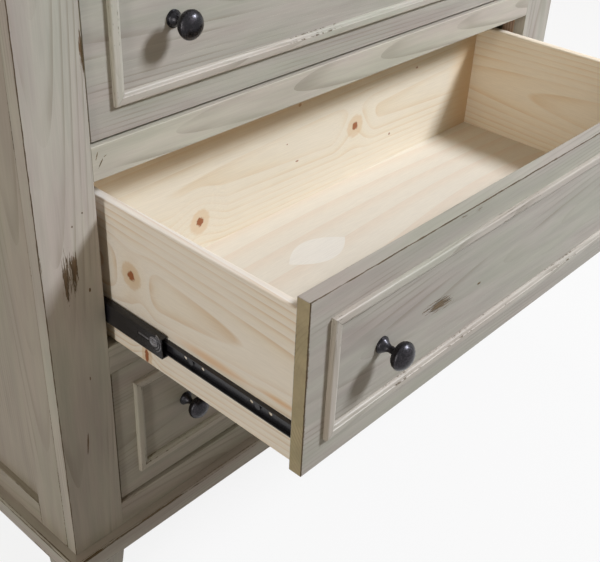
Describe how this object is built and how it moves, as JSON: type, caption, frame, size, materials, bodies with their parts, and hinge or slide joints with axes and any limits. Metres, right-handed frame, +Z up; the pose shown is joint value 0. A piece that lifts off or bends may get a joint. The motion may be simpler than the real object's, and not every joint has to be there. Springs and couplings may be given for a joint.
{
  "type": "dresser with mirror",
  "caption": "Floor-standing dresser in distressed painted pine with inset full-extension drawers, round knobs and an upright framed mirror on rear supports.",
  "frame": {"origin": "on the floor, below the middle of the whole dresser with its middle drawer pulled out as at rest", "axes": "+Z up, -Y out of the drawers towards the user, +X to the right as the user faces the dresser"},
  "size_m": [0.987, 0.7444, 1.6982],
  "materials": {
    "painted_wood": "distressed grey-beige wash on pine, satin",
    "pine": "clear-finished pine",
    "plywood": "clear-finished plywood",
    "bare_wood": "unfinished sawn pine",
    "knob_metal": "antique dark pewter, rubbed",
    "black_steel": "black electrophoretic coat on pressed steel",
    "screw_steel": "dark zinc-plated steel",
    "mirror_glass": "silvered float glass"
  },
  "bodies": {
    "case": {"top_board": "painted_wood", "face_stile_left": "painted_wood", "face_stile_right": "painted_wood", "face_rail_top": "painted_wood", "face_rail_upper": "painted_wood", "face_rail_lower": "painted_wood", "face_rail_bottom": "painted_wood", "side_panel_left": "painted_wood", "side_panel_right": "painted_wood", "side_stile_front_left": "painted_wood", "side_stile_front_right": "painted_wood", "side_stile_rear_left": "painted_wood", "side_stile_rear_right": "painted_wood", "side_rails_left": "painted_wood", "side_rails_right": "painted_wood", "back_panel": "plywood", "slide_posts": "bare_wood", "base_rail_front": "painted_wood", "base_rail_left": "painted_wood", "base_rail_right": "painted_wood", "base_rail_back": "painted_wood", "feet": "painted_wood", "slide_outer_left": "black_steel", "slide_outer_right": "black_steel", "slide_outer_screws": "screw_steel", "mirror_frame": "painted_wood", "mirror_glass": "mirror_glass", "mirror_backboard": "plywood", "mirror_supports": "painted_wood", "mirror_screws": "screw_steel"},
    "drawer_top": {"drawer_top_front": "painted_wood", "drawer_top_moulding": "painted_wood", "drawer_top_side_left": "pine", "drawer_top_side_right": "pine", "drawer_top_back": "pine", "drawer_top_bottom": "plywood", "drawer_top_knobs": "knob_metal", "drawer_top_screws": "screw_steel", "drawer_top_slide_inner": "black_steel"},
    "slide_mid_top": {"drawer_top_slide_mid": "black_steel"},
    "drawer_middle": {"drawer_middle_front": "painted_wood", "drawer_middle_moulding": "painted_wood", "drawer_middle_side_left": "pine", "drawer_middle_side_right": "pine", "drawer_middle_back": "pine", "drawer_middle_bottom": "plywood", "drawer_middle_knobs": "knob_metal", "drawer_middle_screws": "screw_steel", "drawer_middle_slide_inner": "black_steel"},
    "slide_mid_middle": {"drawer_middle_slide_mid": "black_steel"},
    "drawer_bottom": {"drawer_bottom_front": "painted_wood", "drawer_bottom_moulding": "painted_wood", "drawer_bottom_side_left": "pine", "drawer_bottom_side_right": "pine", "drawer_bottom_back": "pine", "drawer_bottom_bottom": "plywood", "drawer_bottom_knobs": "knob_metal", "drawer_bottom_screws": "screw_steel", "drawer_bottom_slide_inner": "black_steel"},
    "slide_mid_bottom": {"drawer_bottom_slide_mid": "black_steel"}
  },
  "joints": [
    {"name": "drawer_top_slide", "type": "slide", "parent": "case", "child": "drawer_top", "axis": [0, -1, 0], "range_m": [0, 0.35]},
    {"name": "slide_mid_top_slide", "type": "slide", "parent": "case", "child": "slide_mid_top", "axis": [0, -1, 0], "range_m": [0, 0.17501]},
    {"name": "drawer_middle_slide", "type": "slide", "parent": "case", "child": "drawer_middle", "axis": [0, -1, 0], "range_m": [-0.2927, 0.0573]},
    {"name": "slide_mid_middle_slide", "type": "slide", "parent": "case", "child": "slide_mid_middle", "axis": [0, -1, 0], "range_m": [-0.14636, 0.02866]},
    {"name": "drawer_bottom_slide", "type": "slide", "parent": "case", "child": "drawer_bottom", "axis": [0, -1, 0], "range_m": [0, 0.35]},
    {"name": "slide_mid_bottom_slide", "type": "slide", "parent": "case", "child": "slide_mid_bottom", "axis": [0, -1, 0], "range_m": [0, 0.17501]}
  ],
  "couplings": [
    {"joint": "slide_mid_top_slide", "follows": "drawer_top_slide", "ratio": 0.5},
    {"joint": "slide_mid_middle_slide", "follows": "drawer_middle_slide", "ratio": 0.5},
    {"joint": "slide_mid_bottom_slide", "follows": "drawer_bottom_slide", "ratio": 0.5}
  ]
}
